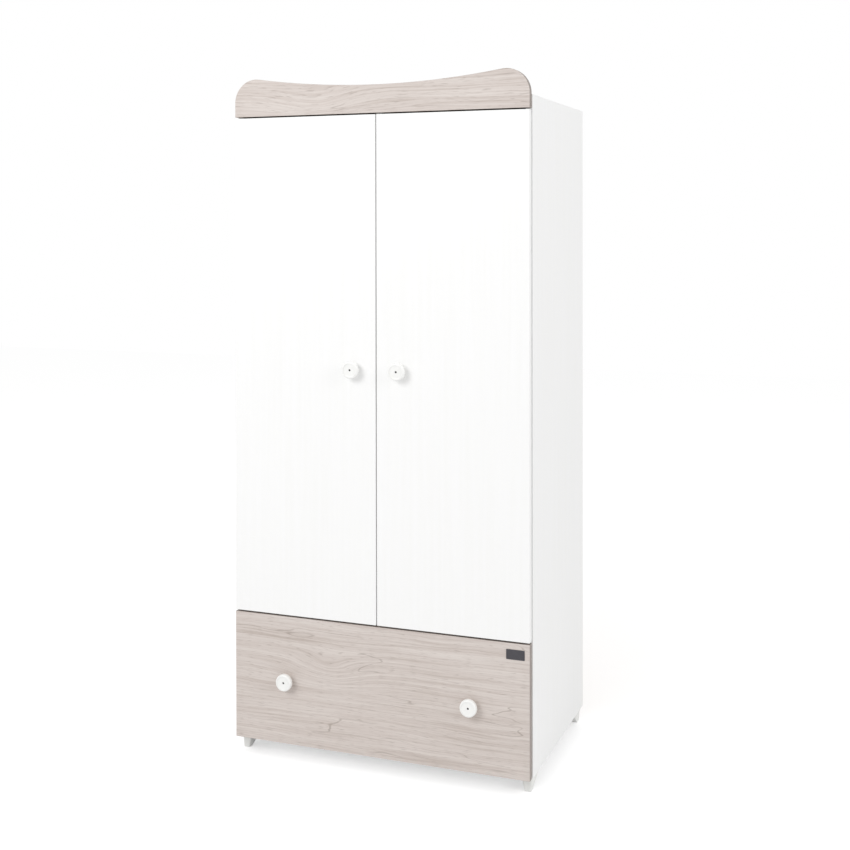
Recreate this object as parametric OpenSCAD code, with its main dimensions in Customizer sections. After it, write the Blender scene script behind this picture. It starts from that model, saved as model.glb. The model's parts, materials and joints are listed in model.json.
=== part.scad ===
// Two-door wardrobe with a wide bottom drawer.
// The fronts overlay the carcass. Row frame: X along the width, -Y is the front, +Z is up,
// and the origin is on the floor under the middle of the overall box.

/* [Carcass] */
// Outside width of the carcass
carcass_w = 830; // [690:1:1000]
// Height of the side panels
carcass_h = 1708; // [1420:1:2060]
// Depth of the side panels, from front edge to rear edge
carcass_d = 520; // [430:1:630]
// Thickness of the laminated boards
board_t = 18; // [15:0.5:22]
// Thickness of the hardboard back
back_t = 3; // [2.5:0.1:4]
// Distance from the rear edges to the back of the hardboard
back_inset = 10; // [8:0.5:14]
// Depth of the grooves that hold thin hardboard
groove_depth = 6; // [4:0.5:7]

/* [Fronts] */
// Thickness of the doors, the drawer front and the cornice
front_t = 18; // [15:0.5:22]
// How far the fronts stay in from each outer side face
front_inset = 2.5; // [1:0.5:4]
// Gap above and below the doors
front_gap = 4; // [3:0.5:6]
// Gap between the two doors
meeting_gap = 3; // [2:0.5:5]
// Air between the back of the doors and the carcass
standoff = 3; // [3:0.1:5]
// Height of the drawer front
drawer_front_h = 340; // [282:1:410]

/* [Cornice] */
// Overall height of the cornice board
cornice_h = 100; // [83:1:122]
// How far the cornice reaches below the top of the carcass
cornice_drop = 34.5; // [28:0.5:42]
// How far the middle of the wave lies below its crests
cornice_dip = 26.5; // [20:0.5:34]
// Radius of the rounded upper corners
cornice_r = 62; // [50:1:75]

/* [Feet] */
// Height of the feet
foot_h = 40; // [33:1:48]
// Width of a foot at the top
foot_w = 28; // [24:1:34]
// Length of a foot at the top, front to back
foot_l = 62; // [50:1:75]

/* [Interior] */
// How much higher the lowest shelf space is than the others
low_extra = 90; // [80:1:160]
// How far the shelves stay back from the front edges
shelf_setback = 25; // [20:1:40]
// Free height above the hat shelf
hat_space = 230; // [200:5:260]
// Distance from the hat shelf down to the axis of the rail
rail_drop = 60; // [45:1:80]
// Outer radius of the hanging rail
rail_r = 12.5; // [10:0.5:15]
// Wall of the hanging rail
rail_wall = 1.2; // [1:0.1:2]

/* [Hinges] */
// Distance from a door's end to its first hinge
hinge_end = 100; // [80:1:130]
// Distance from a door's outer edge to the hinge pin
hinge_edge = 7; // [6:0.1:7]
// Depth of the hinge pin behind a door's back face
hinge_depth = 9; // [8.5:0.1:9.5]
// Radius of the hinge cup
cup_r = 17.5; // [17:0.1:18]
// Depth of the hinge cup
cup_depth = 12.5; // [12.2:0.1:13]
// Radius of the hinge pin
hinge_pin_r = 1.25; // [1:0.05:1.4]

/* [Drawer] */
// Clearance for a runner on each side of the drawer box
runner_gap = 12.5; // [12:0.1:14]
// Thickness of the drawer box boards
drawer_t = 16; // [14:0.5:18]
// Height of the drawer sides
drawer_side_h = 200; // [150:1:210]
// Radius of the runner rollers
roller_r = 11; // [9:0.1:13]

/* [Knobs] */
// Radius of a knob
knob_r = 22.5; // [18:0.5:27]
// How far a knob stands out from its front
knob_out = 26; // [22:0.5:31]
// Distance from the middle of the wardrobe to a door knob
door_knob_x = 64.5; // [50:0.5:80]
// Distance from the middle of the wardrobe to a drawer knob
drawer_knob_x = 258; // [200:1:300]

/* [Hidden] */
$fn = 48;

// Finishes
WHITE = "white";
OAK = "#d4cac3";
ZINC = "silver";
NYLON = "whitesmoke";
BEECH = "burlywood";
CHARCOAL = "#3a3a3f";

// Clearances
fit = 0.1;          // radial room round fixings in their holes
running = 0.05;     // radial room round pins and axles that turn
pin_fit = 0.02;     // radial room round the hinge pins in their cups
slack = 0.2;        // room on each side of a sheet in its groove
seat = 0.3;         // room between parts that pass or nearly touch
cut = 1;            // how far a cutting shape runs past a face
past = 0.5;         // how far a blind hole goes beyond its fixing

// Carcass planes
overall_d = knob_out + front_t + standoff + carcass_d;
y_rear = overall_d / 2;
y_front = y_rear - carcass_d;          // front edges of the carcass
y_door_back = y_front - standoff;
y_face = y_door_back - front_t;        // visible faces of the doors and drawer
y_back = y_rear - back_inset - back_t; // front of the hardboard back
half_w = carcass_w / 2;
inner_x = half_w - board_t;
front_x = half_w - front_inset;        // outer edges of the fronts
z_base = foot_h;
z_top = z_base + carcass_h;
z_floor = z_base + board_t;            // top of the bottom panel
z_ceiling = z_top - board_t;           // underside of the top panel
z_split = z_base + drawer_front_h + front_gap / 2;
z_deck = z_split + board_t / 2;        // top of the fixed shelf
z_cornice = z_top - cornice_drop;
z_door_low = z_base + drawer_front_h + front_gap;
z_door_high = z_cornice - front_gap;
z_door_mid = (z_door_low + z_door_high) / 2;
part_x = board_t / 2;                  // half the thickness of the partition

// Strip that joins the two halves of the back
strip_web = 1.2;
strip_w = 14;
strip_t = 1.2;

// Hinges: the door turns on a pin inside its cups
hinge_count = 3;
pin_x = front_x - hinge_edge;
pin_y = y_door_back - hinge_depth;
cup_edge = 3;                          // board left between a cup and the door's edge
cup_x = front_x - cup_edge - cup_r;
cup_wall = 0.8;
flange_t = 1;
flange_r = cup_r + 1;
cup_screw_z = 24;
cup_screw_in = 6;
boss_end = sqrt(pow(cup_r - seat, 2) - pow(pin_x + hinge_pin_r - cup_x, 2));
knuckle_r = 2.4;
knuckle_w = 8;
arm_t = 2.5;
arm_w = 16;
arm_front = 4;                         // front edge of the side to an arm's strip
arm_l = 62;
plate_front = 14;                      // front edge of the side to a plate
plate_l = 50;
plate_w = 16;
plate_wing = 28;                       // half the height of a plate's wings
plate_wing_l = 16;
plate_screw_z = 20;
plate_set = 37;                        // front edge to the screw row
pin_to_side = board_t - front_inset - hinge_edge;
arm_reach = max(norm([hinge_edge, hinge_depth]) + 1, pin_to_side + 3);
plate_t = arm_reach - pin_to_side;
plate_wing_t = min(2.4, plate_t);
arm_x = pin_x - arm_reach;             // face of the arm on its plate
hinge_z = [for (i = [0 : hinge_count - 1])
    z_door_low + hinge_end + i * (z_door_high - z_door_low - 2 * hinge_end) / (hinge_count - 1)];

// Wood screws, cams, dowels and euro screws
screw_r = 1.8;
screw_head_r = 3.4;
screw_head_h = 1.8;
cam_r = 7.4;
cam_in = 34;
cam_past_axis = 4;
cam_sunk = 0.5;                        // face of a cam below the board's surface
cam_slot_l = 10;
cam_slot_w = 1.6;
cam_slot_t = 2;
cam_bolt_r = 3;
cam_thread_r = 2.5;
cam_thread_l = 11;
cam_end = 90;
dowel_r = 4;
dowel_side = 12;
dowel_board = 22;
dowel_end = 122;
euro_head_r = 5;
euro_head_h = 2;
euro_r = 3.4;
euro_tip_r = 2.4;
euro_tip_l = 30;

// Shelves
shelf_count = 3;                       // one node for each
pin_r = 2.5;
pin_in = min(8, board_t / 2 - 1);
pin_out = 7;
pin_pad = 6;
pin_end = 45;
hole_step = 32;
shelf_side_gap = 1;
shelf_back_gap = 2;
shelf_room = (z_ceiling - z_deck - low_extra - shelf_count * board_t) / (shelf_count + 1);
shelf_z = [for (i = [1 : shelf_count]) z_deck + low_extra + i * shelf_room + (i - 1) * board_t];
hat_z = z_ceiling - hat_space - board_t;
shelf_y0 = y_front + shelf_setback;
shelf_y1 = y_back - shelf_back_gap;
pin_y_list = [shelf_y0 + pin_end, shelf_y1 - pin_end];

// Hanging rail
rail_z = hat_z - rail_drop;
rail_y = y_front + carcass_d / 2;
socket_t = 3;
socket_wall = 3;
socket_l = 14;
socket_w = 2 * (rail_r + socket_wall) + 2;
socket_h = 64;
socket_screw_z = 25;
rail_end_gap = 1;
rail_l = inner_x - part_x - 2 * (socket_t + rail_end_gap);

// Runners and drawer box
runner_lift = 12;                      // bottom panel to the cabinet runner
runner_set = 2;                        // front edge to the runner
sheet = 1.2;                           // thickness of the runner steel
runner_h = 2 * roller_r + 6;
runner_l = 50 * floor((y_back - y_front - runner_set - 15) / 50);
z_runner = z_floor + runner_lift;
lip = 4.2;                             // top flange of the cabinet runner
tread = runner_gap - sheet - seat;     // bottom flange of the cabinet runner
roller_w = 7;
roller_x = 3.6;                        // side panel to a roller's face
axle_r = 2.5;
roller_end = 15;                       // runner end to the roller's axle
z_rear_axle = z_runner + sheet + seat + roller_r;
z_front_axle = z_rear_axle + 0.1;
z_track = z_front_axle + roller_r + seat;  // underside of the drawer runner's tread
z_drawer_steel = z_runner + 2;
runner_under = 14;                     // flange under the drawer side
z_drawer = z_drawer_steel + sheet;     // underside of the drawer sides
box_x = inner_x - runner_gap;          // outer faces of the drawer sides
box_in = box_x - drawer_t;
y_box_rear = y_front + runner_l;
front_axle_y = y_front + runner_set + roller_end;
rear_axle_y = y_box_rear - roller_end;
z_sheet = z_drawer + 10;               // underside of the drawer bottom
z_box_back = z_sheet + back_t + seat;
drawer_mid_z = z_base + drawer_front_h / 2;
drawer_cam_z = [z_drawer + 45, z_drawer + drawer_side_h - 35];
drawer_dowel_z = z_drawer + drawer_side_h / 2 + 5;
drawer_euro_z = [z_box_back + 35, z_drawer + drawer_side_h - 35];
runner_screw_y = [y_front + 45, y_front + runner_l / 2, y_front + runner_l - 50];

// Knobs
knob_disc_t = 14;
knob_edge_r = 5;
knob_neck_r = 9;
knob_dish = 1.5;
knob_dish_r = 17;
dish_ball = (knob_dish_r * knob_dish_r + knob_dish * knob_dish) / (2 * knob_dish);
knob_hole_r = 2.7;
knob_hole_l = 6;
knob_screw_r = 2;
knob_screw_head_r = 4;
knob_screw_head_h = 2.2;

// Feet
foot_side_in = 4;                      // side face to the outer top edge of a foot
foot_front_in = 8;
foot_slope_side = 5;
foot_slope_front = 2;
foot_toe_w = 17;
foot_toe_l = 22;
foot_skirt = 8;                        // upright part of the inner sides
foot_flange = 58;
foot_flange_t = 3;
foot_screw_in = 44;
foot_x = half_w - foot_side_in;        // outer top edge of a foot

// Cornice outline: two corner arcs joined by one long hollow arc
corner_x = front_x - cornice_r;
corner_z = cornice_h - cornice_r;
hollow_r = (corner_x * corner_x - 2 * cornice_r * cornice_dip + cornice_dip * cornice_dip)
    / (2 * cornice_dip);
join_x = corner_x * hollow_r / (hollow_r + cornice_r);
bracket_size = 18;
bracket_w = 30;
bracket_x = [-front_x * 2 / 3, 0, front_x * 2 / 3];

// Wall bracket, on top at the rear
wall_w = 40;
wall_leg = 30;
wall_t = 2;
wall_hole_r = 3;
wall_hole_z = 18;
wall_screw_x = 12;

// Bumpers and name plate
bumper_r = 3.5;
bumper_end = 40;
bumper_x = (meeting_gap / 2 + part_x) / 2;
plate_size = [48, 1.2, 25];
plate_from_edge = 13;
plate_from_top = 15.5;

// ---------------------------------------------------------------- helpers
module block(lo, hi) translate(lo) cube(hi - lo);

// Puts children at p with their +Z turned to the direction d.
module aim(p, d) translate(p)
    rotate(d.x > 0 ? [0, 90, 0] : d.x < 0 ? [0, -90, 0] : d.y > 0 ? [-90, 0, 0]
        : d.y < 0 ? [90, 0, 0] : d.z < 0 ? [180, 0, 0] : [0, 0, 0]) children();

// Turns what is drawn for the right side into the left one.
module on_side(s) mirror([s < 0 ? 1 : 0, 0, 0]) children();

// A fixing is [point on the seat, direction into the board, length of the shank].
module wood_screws(list) for (s = list) aim(s[0], s[1]) {
    translate([0, 0, -screw_head_h]) cylinder(r = screw_head_r, h = screw_head_h);
    cylinder(r = screw_r, h = s[2]);
}
module screw_holes(list) for (s = list) aim(s[0], s[1])
    translate([0, 0, -cut]) cylinder(r = screw_r + fit, h = s[2] + cut + past);

module euro_screws(list) for (s = list) aim(s[0], s[1]) {
    cylinder(r = euro_head_r, h = euro_head_h);
    cylinder(r = euro_r, h = s[2]);
    cylinder(r = euro_tip_r, h = s[2] + euro_tip_l);
}
module euro_holes(list) for (s = list) aim(s[0], s[1]) {
    translate([0, 0, -cut]) cylinder(r = euro_head_r + fit, h = euro_head_h + cut);
    cylinder(r = euro_r + fit, h = s[2] + 0.01);
    cylinder(r = euro_tip_r + fit, h = s[2] + euro_tip_l + past);
}

// A dowel is [point where the two boards meet, direction into the end-drilled board].
module dowel_set(list, into, grow = 0) for (d = list) aim(d[0], d[1])
    translate([0, 0, -into - grow * 5]) cylinder(r = dowel_r + grow, h = into + dowel_board + grow * 10);

// A cam fitting is [bolt foot on the faced board, direction along the bolt, direction out of the cam].
module cam_disc(c, half_t) aim(c[0] + c[1] * cam_in, c[2]) translate([0, 0, -cam_past_axis])
    cylinder(r = cam_r, h = half_t + cam_past_axis - cam_sunk);
module cam_bolt(c) aim(c[0], c[1]) {
    translate([0, 0, -cam_thread_l]) cylinder(r = cam_thread_r, h = cam_thread_l);
    cylinder(r = cam_bolt_r, h = cam_in);
}
module cam_set(list, half_t) for (c = list) difference() {
    cam_disc(c, half_t);
    aim(c[0], c[1]) cylinder(r = cam_bolt_r + fit, h = cam_in + past);
    // cross slot for the screwdriver
    aim(c[0] + c[1] * cam_in + c[2] * (half_t - cam_sunk), c[2]) for (a = [0, 90])
        rotate(a) translate([-cam_slot_l / 2, -cam_slot_w / 2, -cam_slot_t])
            cube([cam_slot_l, cam_slot_w, cam_slot_t + cut]);
}
// The bores for cams in the board that carries them.
module cam_bores(list, half_t) for (c = list) {
    aim(c[0] + c[1] * cam_in, c[2]) translate([0, 0, -cam_past_axis - fit])
        cylinder(r = cam_r + fit, h = half_t + cam_past_axis + cut);
    aim(c[0], c[1]) translate([0, 0, -cut]) cylinder(r = cam_bolt_r + fit, h = cam_in + cut);
}
// The bores for the bolts' threads in the faced board.
module cam_threads(list) for (c = list) aim(c[0], c[1])
    translate([0, 0, -cam_thread_l - past]) cylinder(r = cam_thread_r + fit, h = cam_thread_l + past + cut);

// ---------------------------------------------------------------- fixing plans
// Three boards lie between the sides: bottom, fixed shelf and top.
level_z = [z_base, z_split - board_t / 2, z_ceiling];
function cams_at(s, levels) = [for (z = levels, y = [y_front + cam_end, y_back - cam_end])
    [[s * inner_x, y, z + board_t / 2], [-s, 0, 0], [0, 0, -1]]];
function dowels_at(s, levels) = [for (z = levels, y = [y_front + dowel_end, y_back - dowel_end])
    [[s * inner_x, y, z + board_t / 2], [-s, 0, 0]]];
carcass_cams = [for (s = [-1, 1]) each cams_at(s, level_z)];
carcass_dowels = [for (s = [-1, 1]) each dowels_at(s, level_z)];
partition_y = [y_front + 60, y_back - 60];
partition_dowels = [for (y = [y_front + carcass_d * 0.4, y_front + carcass_d * 0.6])
    each [[[0, y, z_ceiling], [0, 0, -1]], [[0, y, z_deck], [0, 0, 1]]]];
top_euros = [for (y = partition_y) [[0, y, z_top], [0, 0, -1], board_t]];
deck_euros = [for (y = partition_y) [[0, y, z_deck - board_t], [0, 0, 1], board_t]];

plate_screws = [for (s = [-1, 1], z = hinge_z, dz = [-1, 1])
    [[s * (inner_x - plate_wing_t), y_front + plate_set, z + dz * plate_screw_z], [s, 0, 0],
        plate_wing_t + 11]];
arm_screws = [for (s = [-1, 1], z = hinge_z)
    [[s * (arm_x - arm_t), y_front + plate_set + 12, z], [s, 0, 0], arm_t + plate_t - 1]];
cabinet_runner_screws = [for (s = [-1, 1], y = runner_screw_y)
    [[s * (inner_x - sheet), y, z_rear_axle], [s, 0, 0], sheet + 12]];
bracket_screws = [for (x = bracket_x) each [
    [[x - 8, y_front + bracket_size, z_top + bracket_size / 2], [0, -1, 0], bracket_size + 12],
    [[x + 8, y_front + bracket_size / 2, z_top + bracket_size], [0, 0, -1], bracket_size + 12]]];
socket_screws = [for (e = [[part_x + socket_t, -1], [inner_x - socket_t, 1]], dz = [-1, 1])
    [[e[0], rail_y, rail_z + dz * socket_screw_z], [e[1], 0, 0], socket_t + min(10, board_t - 6)]];
foot_screws = [for (sx = [-1, 1], sy = [-1, 1], dy = [18, 46])
    [[sx * (half_w - foot_side_in - foot_screw_in), foot_y(sy, dy), z_base - foot_flange_t],
        [0, 0, 1], foot_flange_t + 12]];
wall_screws = [for (s = [-1, 1])
    [[s * wall_screw_x, y_rear - wall_leg / 2, z_top + wall_t], [0, 0, -1], wall_t + 12]];
function foot_y(sy, d) = sy < 0 ? y_front + foot_front_in + d : y_rear - foot_front_in - d;

function cup_screws(s) = [for (z = hinge_z, dz = [-1, 1])
    [[s * (cup_x - cup_screw_in), y_door_back + flange_t, z + dz * cup_screw_z], [0, -1, 0], flange_t + 10]];
function knob_screw(x, z) = [[x, y_door_back, z], [0, -1, 0], front_t + knob_out - knob_hole_l + 1];
drawer_cams = [for (s = [-1, 1], z = drawer_cam_z)
    [[s * (box_x - drawer_t / 2), y_door_back, z], [0, 1, 0], [-s, 0, 0]]];
drawer_dowels = [for (s = [-1, 1])
    [[s * (box_x - drawer_t / 2), y_door_back, drawer_dowel_z], [0, 1, 0]]];
drawer_euros = [for (s = [-1, 1], z = drawer_euro_z)
    [[s * box_x, y_box_rear - drawer_t / 2, z], [-s, 0, 0], drawer_t]];
under_screws = [for (s = [-1, 1], y = [y_front + 60, y_front + runner_l - 60])
    [[s * (box_x - drawer_t / 2), y, z_drawer_steel], [0, 0, 1], sheet + 12]];

// ---------------------------------------------------------------- carcass
module side_panel(s) color(WHITE) difference() {
    on_side(s) block([inner_x, y_front, z_base], [half_w, y_rear, z_top]);
    on_side(s) block([inner_x - cut, y_back - slack, z_base - cut],
        [inner_x + groove_depth + slack, y_back + back_t + slack, z_top + cut]);
    cam_threads(cams_at(s, level_z));
    dowel_set(dowels_at(s, level_z), dowel_side, fit);
    support_holes(s * inner_x, s, s < 0 ? shelf_z : [hat_z]);
    screw_holes([for (p = concat(plate_screws, cabinet_runner_screws, socket_screws))
        if (p[0].x * s > part_x * 3 && p[1].x * s > 0) p]);
}

// Rows of three holes for each shelf support, in the face at x that looks away from d.
module support_holes(x, d, shelves) for (z = shelves, y = pin_y_list, k = [-1, 0, 1])
    aim([x, y, z - pin_r + k * hole_step], [d, 0, 0]) translate([0, 0, -cut])
        cylinder(r = pin_r + fit, h = pin_in + cut + past);

// A board between the sides, with its cams set in from below.
module level_board(z, y_end) difference() {
    block([-inner_x, y_front, z], [inner_x, y_end, z + board_t]);
    for (s = [-1, 1]) {
        cam_bores(cams_at(s, [z]), board_t / 2);
        dowel_set(dowels_at(s, [z]), dowel_side, fit);
    }
}

module top_panel() color(WHITE) difference() {
    level_board(z_ceiling, y_rear);
    block([-inner_x - cut, y_back - slack, z_ceiling - cut],
        [inner_x + cut, y_back + back_t + slack, z_ceiling + groove_depth + slack]);
    euro_holes(top_euros);
    dowel_set([partition_dowels[0], partition_dowels[2]], min(dowel_side, board_t - 4), fit);
    screw_holes(concat(bracket_screws, wall_screws));
}

module bottom_panel() color(WHITE) difference() {
    level_board(z_base, y_rear);
    block([-inner_x - cut, y_back - slack, z_floor - groove_depth - slack],
        [inner_x + cut, y_back + back_t + slack, z_floor + cut]);
    screw_holes(foot_screws);
}

module fixed_shelf() color(WHITE) difference() {
    level_board(z_deck - board_t, y_back - shelf_back_gap);
    euro_holes(deck_euros);
    dowel_set([partition_dowels[1], partition_dowels[3]], min(dowel_side, board_t - 4), fit);
}

module centre_partition() color(WHITE) difference() {
    block([-part_x, y_front, z_deck], [part_x, y_back - shelf_back_gap, z_ceiling]);
    euro_holes(concat(top_euros, deck_euros));
    dowel_set(partition_dowels, dowel_side, fit);
    support_holes(-part_x, 1, shelf_z);
    support_holes(part_x, -1, [hat_z]);
    screw_holes([for (p = socket_screws) if (p[1].x < 0) p]);
}

module back_panel(s) color(WHITE) on_side(s)
    block([strip_web / 2 + slack, y_back, z_floor - groove_depth],
        [inner_x + groove_depth, y_back + back_t, z_ceiling + groove_depth]);

// H-section strip that joins the two halves of the back.
module back_joining_strip() color(WHITE) {
    block([-strip_web / 2, y_back - slack - strip_t, z_floor + seat],
        [strip_web / 2, y_back + back_t + slack + strip_t, z_ceiling - seat]);
    for (y = [y_back - slack - strip_t, y_back + back_t + slack])
        block([-strip_w / 2, y, z_floor + seat], [strip_w / 2, y + strip_t, z_ceiling - seat]);
}

module cornice_outline() {
    translate([-front_x, 0]) square([2 * front_x, corner_z]);
    for (s = [-1, 1]) intersection() {
        translate([s * corner_x, corner_z]) circle(r = cornice_r, $fn = 180);
        translate([-front_x, 0]) square([2 * front_x, cornice_h]);
    }
    difference() {
        translate([-join_x, corner_z - cut]) square([2 * join_x, cornice_r + cut]);
        translate([0, cornice_h - cornice_dip + hollow_r]) circle(r = hollow_r, $fn = 1440);
    }
}

module cornice() color(OAK) difference() {
    translate([0, y_front, z_cornice]) rotate([90, 0, 0]) linear_extrude(front_t) cornice_outline();
    screw_holes(bracket_screws);
}

module cornice_brackets() color(NYLON) for (x = bracket_x) difference() {
    block([x - bracket_w / 2, y_front, z_top],
        [x + bracket_w / 2, y_front + bracket_size, z_top + bracket_size]);
    screw_holes(bracket_screws);
}

// A tapered foot under one corner: upright outside, sloped inside, with a screwed flange on top.
module foot(sx, sy) color(NYLON) difference() {
    on_side(sx) {
        intersection() {
            translate([0, y_rear, 0]) rotate([90, 0, 0]) linear_extrude(carcass_d)
                polygon([[foot_x, z_base], [foot_x, z_base - foot_skirt / 2],
                    [foot_x - foot_slope_side, 0], [foot_x - foot_slope_side - foot_toe_w, 0],
                    [foot_x - foot_w, z_base - foot_skirt], [foot_x - foot_w, z_base]]);
            rotate([90, 0, 90]) linear_extrude(half_w)
                polygon([for (p = [[0, z_base], [0, z_base - foot_skirt / 2], [foot_slope_front, 0],
                    [foot_slope_front + foot_toe_l, 0], [foot_l, z_base - foot_skirt], [foot_l, z_base]])
                    [foot_y(sy, p.x), p.y]]);
        }
        block([foot_x - foot_flange, min(foot_y(sy, 0), foot_y(sy, foot_l)), z_base - foot_flange_t],
            [foot_x, max(foot_y(sy, 0), foot_y(sy, foot_l)), z_base]);
    }
    screw_holes([for (p = foot_screws) if (p[0].x * sx > 0 && p[0].y * sy > 0) p]);
}

// ---------------------------------------------------------------- inside
module shelf_left(i) color(WHITE)
    block([-inner_x + shelf_side_gap, shelf_y0, shelf_z[i]],
        [-part_x - shelf_side_gap, shelf_y1, shelf_z[i] + board_t]);

module hat_shelf() color(WHITE)
    block([part_x + shelf_side_gap, shelf_y0, hat_z], [inner_x - shelf_side_gap, shelf_y1, hat_z + board_t]);

// A support pin: a round stem in the board and a flat-topped pad under the shelf.
module support_pin(x, d, y, z) {
    aim([x - d * pin_out, y, z - pin_r], [d, 0, 0]) cylinder(r = pin_r, h = pin_out + pin_in);
    translate([min(x - d, x - d * pin_out), y - pin_pad / 2, z - pin_pad])
        cube([pin_out - 1, pin_pad, pin_pad]);
}
module shelf_pins() color(ZINC) for (y = pin_y_list) {
    for (z = shelf_z) {
        support_pin(-inner_x, -1, y, z);
        support_pin(-part_x, 1, y, z);
    }
    support_pin(part_x, -1, y, hat_z);
    support_pin(inner_x, 1, y, hat_z);
}

module hanging_rail() color(ZINC) difference() {
    aim([part_x + socket_t + rail_end_gap, rail_y, rail_z], [1, 0, 0])
        cylinder(r = rail_r, h = rail_l);
    aim([part_x, rail_y, rail_z], [1, 0, 0]) cylinder(r = rail_r - rail_wall, h = inner_x);
}

module rail_sockets() color(ZINC) for (e = [[part_x, 1], [inner_x, -1]]) difference() {
    aim([e[0], rail_y, rail_z], [e[1], 0, 0]) {
        cylinder(r = rail_r + socket_wall, h = socket_l);
        translate([-socket_h / 2, -socket_w / 2, 0]) cube([socket_h, socket_w, socket_t]);
    }
    aim([e[0] + e[1] * socket_t, rail_y, rail_z], [e[1], 0, 0]) cylinder(r = rail_r + fit, h = socket_l);
    screw_holes(socket_screws);
}

// ---------------------------------------------------------------- hinges
// Cross-shaped mounting plates on the side panels.
module hinge_plates() color(ZINC) for (s = [-1, 1], z = hinge_z) difference() {
    on_side(s) {
        block([arm_x, y_front + plate_front, z - plate_w / 2],
            [inner_x, y_front + plate_front + plate_l, z + plate_w / 2]);
        block([inner_x - plate_wing_t, y_front + plate_set - plate_wing_l / 2, z - plate_wing],
            [inner_x, y_front + plate_set + plate_wing_l / 2, z + plate_wing]);
    }
    screw_holes(concat(plate_screws, arm_screws));
}

// Cranked arms: a knuckle on the pin, a neck out of the cup and a strip along the plate.
module hinge_arms() color(ZINC) for (s = [-1, 1], z = hinge_z) difference() {
    on_side(s) {
        translate([pin_x, pin_y, z - knuckle_w / 2]) cylinder(r = knuckle_r, h = knuckle_w);
        block([arm_x - arm_t, pin_y - knuckle_r, z - knuckle_w / 2], [pin_x, pin_y, z + knuckle_w / 2]);
        block([arm_x - arm_t, pin_y - knuckle_r, z - knuckle_w / 2],
            [arm_x, y_front + arm_front + 1, z + knuckle_w / 2]);
        block([arm_x - arm_t, y_front + arm_front, z - arm_w / 2],
            [arm_x, y_front + arm_front + arm_l, z + arm_w / 2]);
    }
    on_side(s) translate([pin_x, pin_y, z - knuckle_w])
        cylinder(r = hinge_pin_r + running, h = 2 * knuckle_w);
    screw_holes(arm_screws);
}

// Steel cups pressed into the doors, with a boss above and below the knuckle for the pin.
module hinge_cups(s) color(ZINC) for (z = hinge_z) difference() {
    on_side(s) translate([cup_x, y_door_back, z]) difference() {
        union() {
            rotate([90, 0, 0]) cylinder(r = cup_r, h = cup_depth);
            rotate([-90, 0, 0]) cylinder(r = flange_r, h = flange_t);
            block([-cup_screw_in - 6, 0, -cup_screw_z - 6], [-cup_screw_in + 6, flange_t, cup_screw_z + 6]);
        }
        difference() {
            translate([0, flange_t + cut, 0]) rotate([90, 0, 0])
                cylinder(r = cup_r - cup_wall, h = cup_depth + flange_t + cut - cup_wall);
            for (dz = [-boss_end, knuckle_w / 2 + seat]) translate([pin_x - cup_x, -hinge_depth, dz])
                cylinder(r = knuckle_r, h = boss_end - knuckle_w / 2 - seat);
        }
    }
    on_side(s) translate([pin_x, pin_y, z - boss_end]) cylinder(r = hinge_pin_r + pin_fit, h = 2 * boss_end);
    screw_holes(cup_screws(s));
}

module hinge_pins(s) color("gray") for (z = hinge_z)
    on_side(s) translate([pin_x, pin_y, z - boss_end]) cylinder(r = hinge_pin_r, h = 2 * boss_end);

// ---------------------------------------------------------------- doors
module door_panel(s) color(WHITE) difference() {
    on_side(s) block([meeting_gap / 2, y_face, z_door_low], [front_x, y_door_back, z_door_high]);
    for (z = hinge_z) on_side(s) translate([cup_x, y_door_back + cut, z]) rotate([90, 0, 0])
        cylinder(r = cup_r + fit, h = cup_depth + 0.2 + cut);
    screw_holes(cup_screws(s));
    knob_hole(s * door_knob_x, z_door_mid);
}

module knob_hole(x, z) aim([x, y_door_back + cut, z], [0, -1, 0])
    cylinder(r = knob_screw_r + fit, h = front_t + 2 * cut);

// Turned knob: a neck, a thick disc with a round rim, a dished face and a hole in the middle.
module knob(x, z) color(WHITE) aim([x, y_face, z], [0, -1, 0]) difference() {
    rotate_extrude($fn = 96) difference() {
        union() {
            square([knob_neck_r, knob_out - knob_disc_t + 1]);
            translate([0, knob_out - knob_disc_t]) square([knob_r - knob_edge_r, knob_disc_t]);
            translate([0, knob_out - knob_disc_t + knob_edge_r])
                square([knob_r, knob_disc_t - 2 * knob_edge_r]);
            for (h = [knob_out - knob_edge_r, knob_out - knob_disc_t + knob_edge_r])
                translate([knob_r - knob_edge_r, h]) circle(r = knob_edge_r);
        }
        translate([0, knob_out - knob_dish + dish_ball]) circle(r = dish_ball, $fn = 360);
    }
    translate([0, 0, knob_out - knob_hole_l]) cylinder(r = knob_hole_r, h = knob_hole_l + cut);
    translate([0, 0, -cut]) cylinder(r = knob_screw_r + fit, h = knob_out);
}

module machine_screw(k) aim(k[0], k[1]) {
    translate([0, 0, -knob_screw_head_h]) cylinder(r = knob_screw_head_r, h = knob_screw_head_h);
    cylinder(r = knob_screw_r, h = k[2]);
}

module door_screws(s) color(ZINC) {
    wood_screws(cup_screws(s));
    machine_screw(knob_screw(s * door_knob_x, z_door_mid));
}

module bumper(x, z) color("gainsboro") aim([x, y_door_back, z], [0, 1, 0])
    cylinder(r = min(bumper_r, (part_x - meeting_gap / 2) / 2 - 0.2), h = standoff - seat);
module door_bumpers(s) for (z = [z_door_low + bumper_end, z_door_high - bumper_end]) bumper(s * bumper_x, z);

// ---------------------------------------------------------------- drawer
module drawer_front() color(OAK) difference() {
    block([-front_x, y_face, z_base], [front_x, y_door_back, z_base + drawer_front_h]);
    block([-box_in - groove_depth - slack, y_door_back - groove_depth - slack, z_sheet - slack],
        [box_in + groove_depth + slack, y_door_back + cut, z_sheet + back_t + slack]);
    cam_threads(drawer_cams);
    dowel_set(drawer_dowels, dowel_side - 1, fit);
    for (s = [-1, 1]) knob_hole(s * drawer_knob_x, drawer_mid_z);
}

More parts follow.
